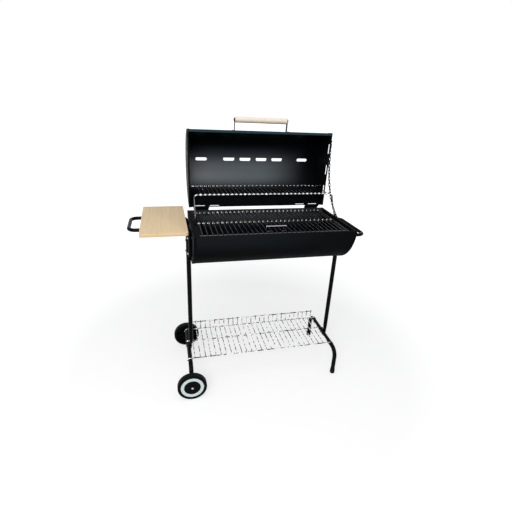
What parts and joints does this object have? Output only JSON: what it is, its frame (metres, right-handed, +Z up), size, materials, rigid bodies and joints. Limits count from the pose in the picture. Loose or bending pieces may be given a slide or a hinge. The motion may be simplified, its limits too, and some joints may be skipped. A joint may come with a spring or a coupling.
{
  "type": "charcoal barrel grill",
  "caption": "Half-barrel charcoal grill with a hinged half-round lid, swinging warming rack, wooden side board and wire shelf on a two-wheeled tube trolley.",
  "frame": {"origin": "centre of the whole outline's footprint, on the floor", "axes": "+Z up, -Y towards the cook at the front, +X towards the fixed feet and the push handle; the wheels and the wooden board are at -X"},
  "size_m": [1.098, 0.599, 1.2801],
  "materials": {
    "black_enamel": "satin heat-proof black coating over sheet steel",
    "black_tube": "gloss black powder coat over steel tube",
    "grate_wire": "chromed wire, darkened by heat",
    "chrome_wire": "bright chromed wire",
    "bare_steel": "zinc-plated steel",
    "pale_wood": "pale oiled softwood, grain along its length",
    "black_plastic": "moulded black plastic",
    "black_rubber": "moulded black rubber",
    "wheel_black": "moulded black plastic, semi-gloss",
    "ring_white": "white plastic trim ring",
    "black_chain": "blackened steel chain"
  },
  "bodies": {
    "trolley": {"bowl_shell": "black_enamel", "bowl_end_left": "black_enamel", "bowl_end_right": "black_enamel", "grate_ledge_left": "black_enamel", "grate_ledge_right": "black_enamel", "charcoal_grate": "grate_wire", "rack_brackets": "black_enamel", "hinge_leaves_bowl": "black_enamel", "hinge_pins": "bare_steel", "hinge_bolts": "bare_steel", "lid_chain": "black_chain", "chain_bolt_bowl": "bare_steel", "left_post": "black_tube", "right_post": "black_tube", "post_plugs": "black_plastic", "post_bolts": "bare_steel", "left_foot_bar": "black_tube", "right_foot_bar": "black_tube", "foot_bolts": "bare_steel", "foot_caps": "black_rubber", "axle": "bare_steel", "axle_spacers": "black_plastic", "axle_caps": "bare_steel", "bottom_shelf": "chrome_wire", "side_arm": "black_tube", "side_arm_bolts": "bare_steel", "side_board": "pale_wood", "board_screws": "bare_steel", "push_handle": "black_tube", "push_handle_bolts": "bare_steel"},
    "lid": {"lid_shell": "black_enamel", "lid_end_left": "black_enamel", "lid_end_right": "black_enamel", "hinge_leaves_lid": "black_enamel", "leaf_rivets": "bare_steel", "lid_grip": "pale_wood", "grip_straps": "black_tube", "grip_screws": "black_tube", "grip_rivets": "bare_steel", "chain_bolt_lid": "bare_steel"},
    "rack_arm": {"rack_bail": "chrome_wire"},
    "rack": {"warming_rack": "chrome_wire"},
    "grate": {"cooking_grate": "grate_wire"},
    "front_wheel_body": {"front_wheel": "wheel_black", "front_wheel_ring": "ring_white"},
    "rear_wheel_body": {"rear_wheel": "wheel_black", "rear_wheel_ring": "ring_white"}
  },
  "joints": [
    {"name": "lid_hinge", "type": "hinge", "parent": "trolley", "child": "lid", "pos_m": [0.091, 0.13098, 0.842], "axis": [1, 0, 0], "range_deg": [0, 88], "deforming": ["lid_chain"]},
    {"name": "rack_arm_swing", "type": "hinge", "parent": "trolley", "child": "rack_arm", "pos_m": [0.091, -0.05702, 0.842], "axis": [1, 0, 0], "range_deg": [0, 88]},
    {"name": "warming_rack_level", "type": "hinge", "parent": "rack_arm", "child": "rack", "pos_m": [0.091, -0.00802, 0.942], "axis": [1, 0, 0], "range_deg": [-88, 0]},
    {"name": "cooking_grate_lift", "type": "slide", "parent": "trolley", "child": "grate", "axis": [0, 0, 1], "range_m": [0, 0.045]},
    {"name": "front_wheel_spin", "type": "hinge", "parent": "trolley", "child": "front_wheel_body", "pos_m": [-0.3029, -0.28102, 0.0705], "axis": [0, 1, 0], "continuous": true},
    {"name": "rear_wheel_spin", "type": "hinge", "parent": "trolley", "child": "rear_wheel_body", "pos_m": [-0.3029, 0.15498, 0.0705], "axis": [0, 1, 0], "continuous": true}
  ],
  "couplings": [
    {"joint": "rack_arm_swing", "follows": "lid_hinge", "ratio": 1},
    {"joint": "warming_rack_level", "follows": "lid_hinge", "ratio": -1}
  ]
}
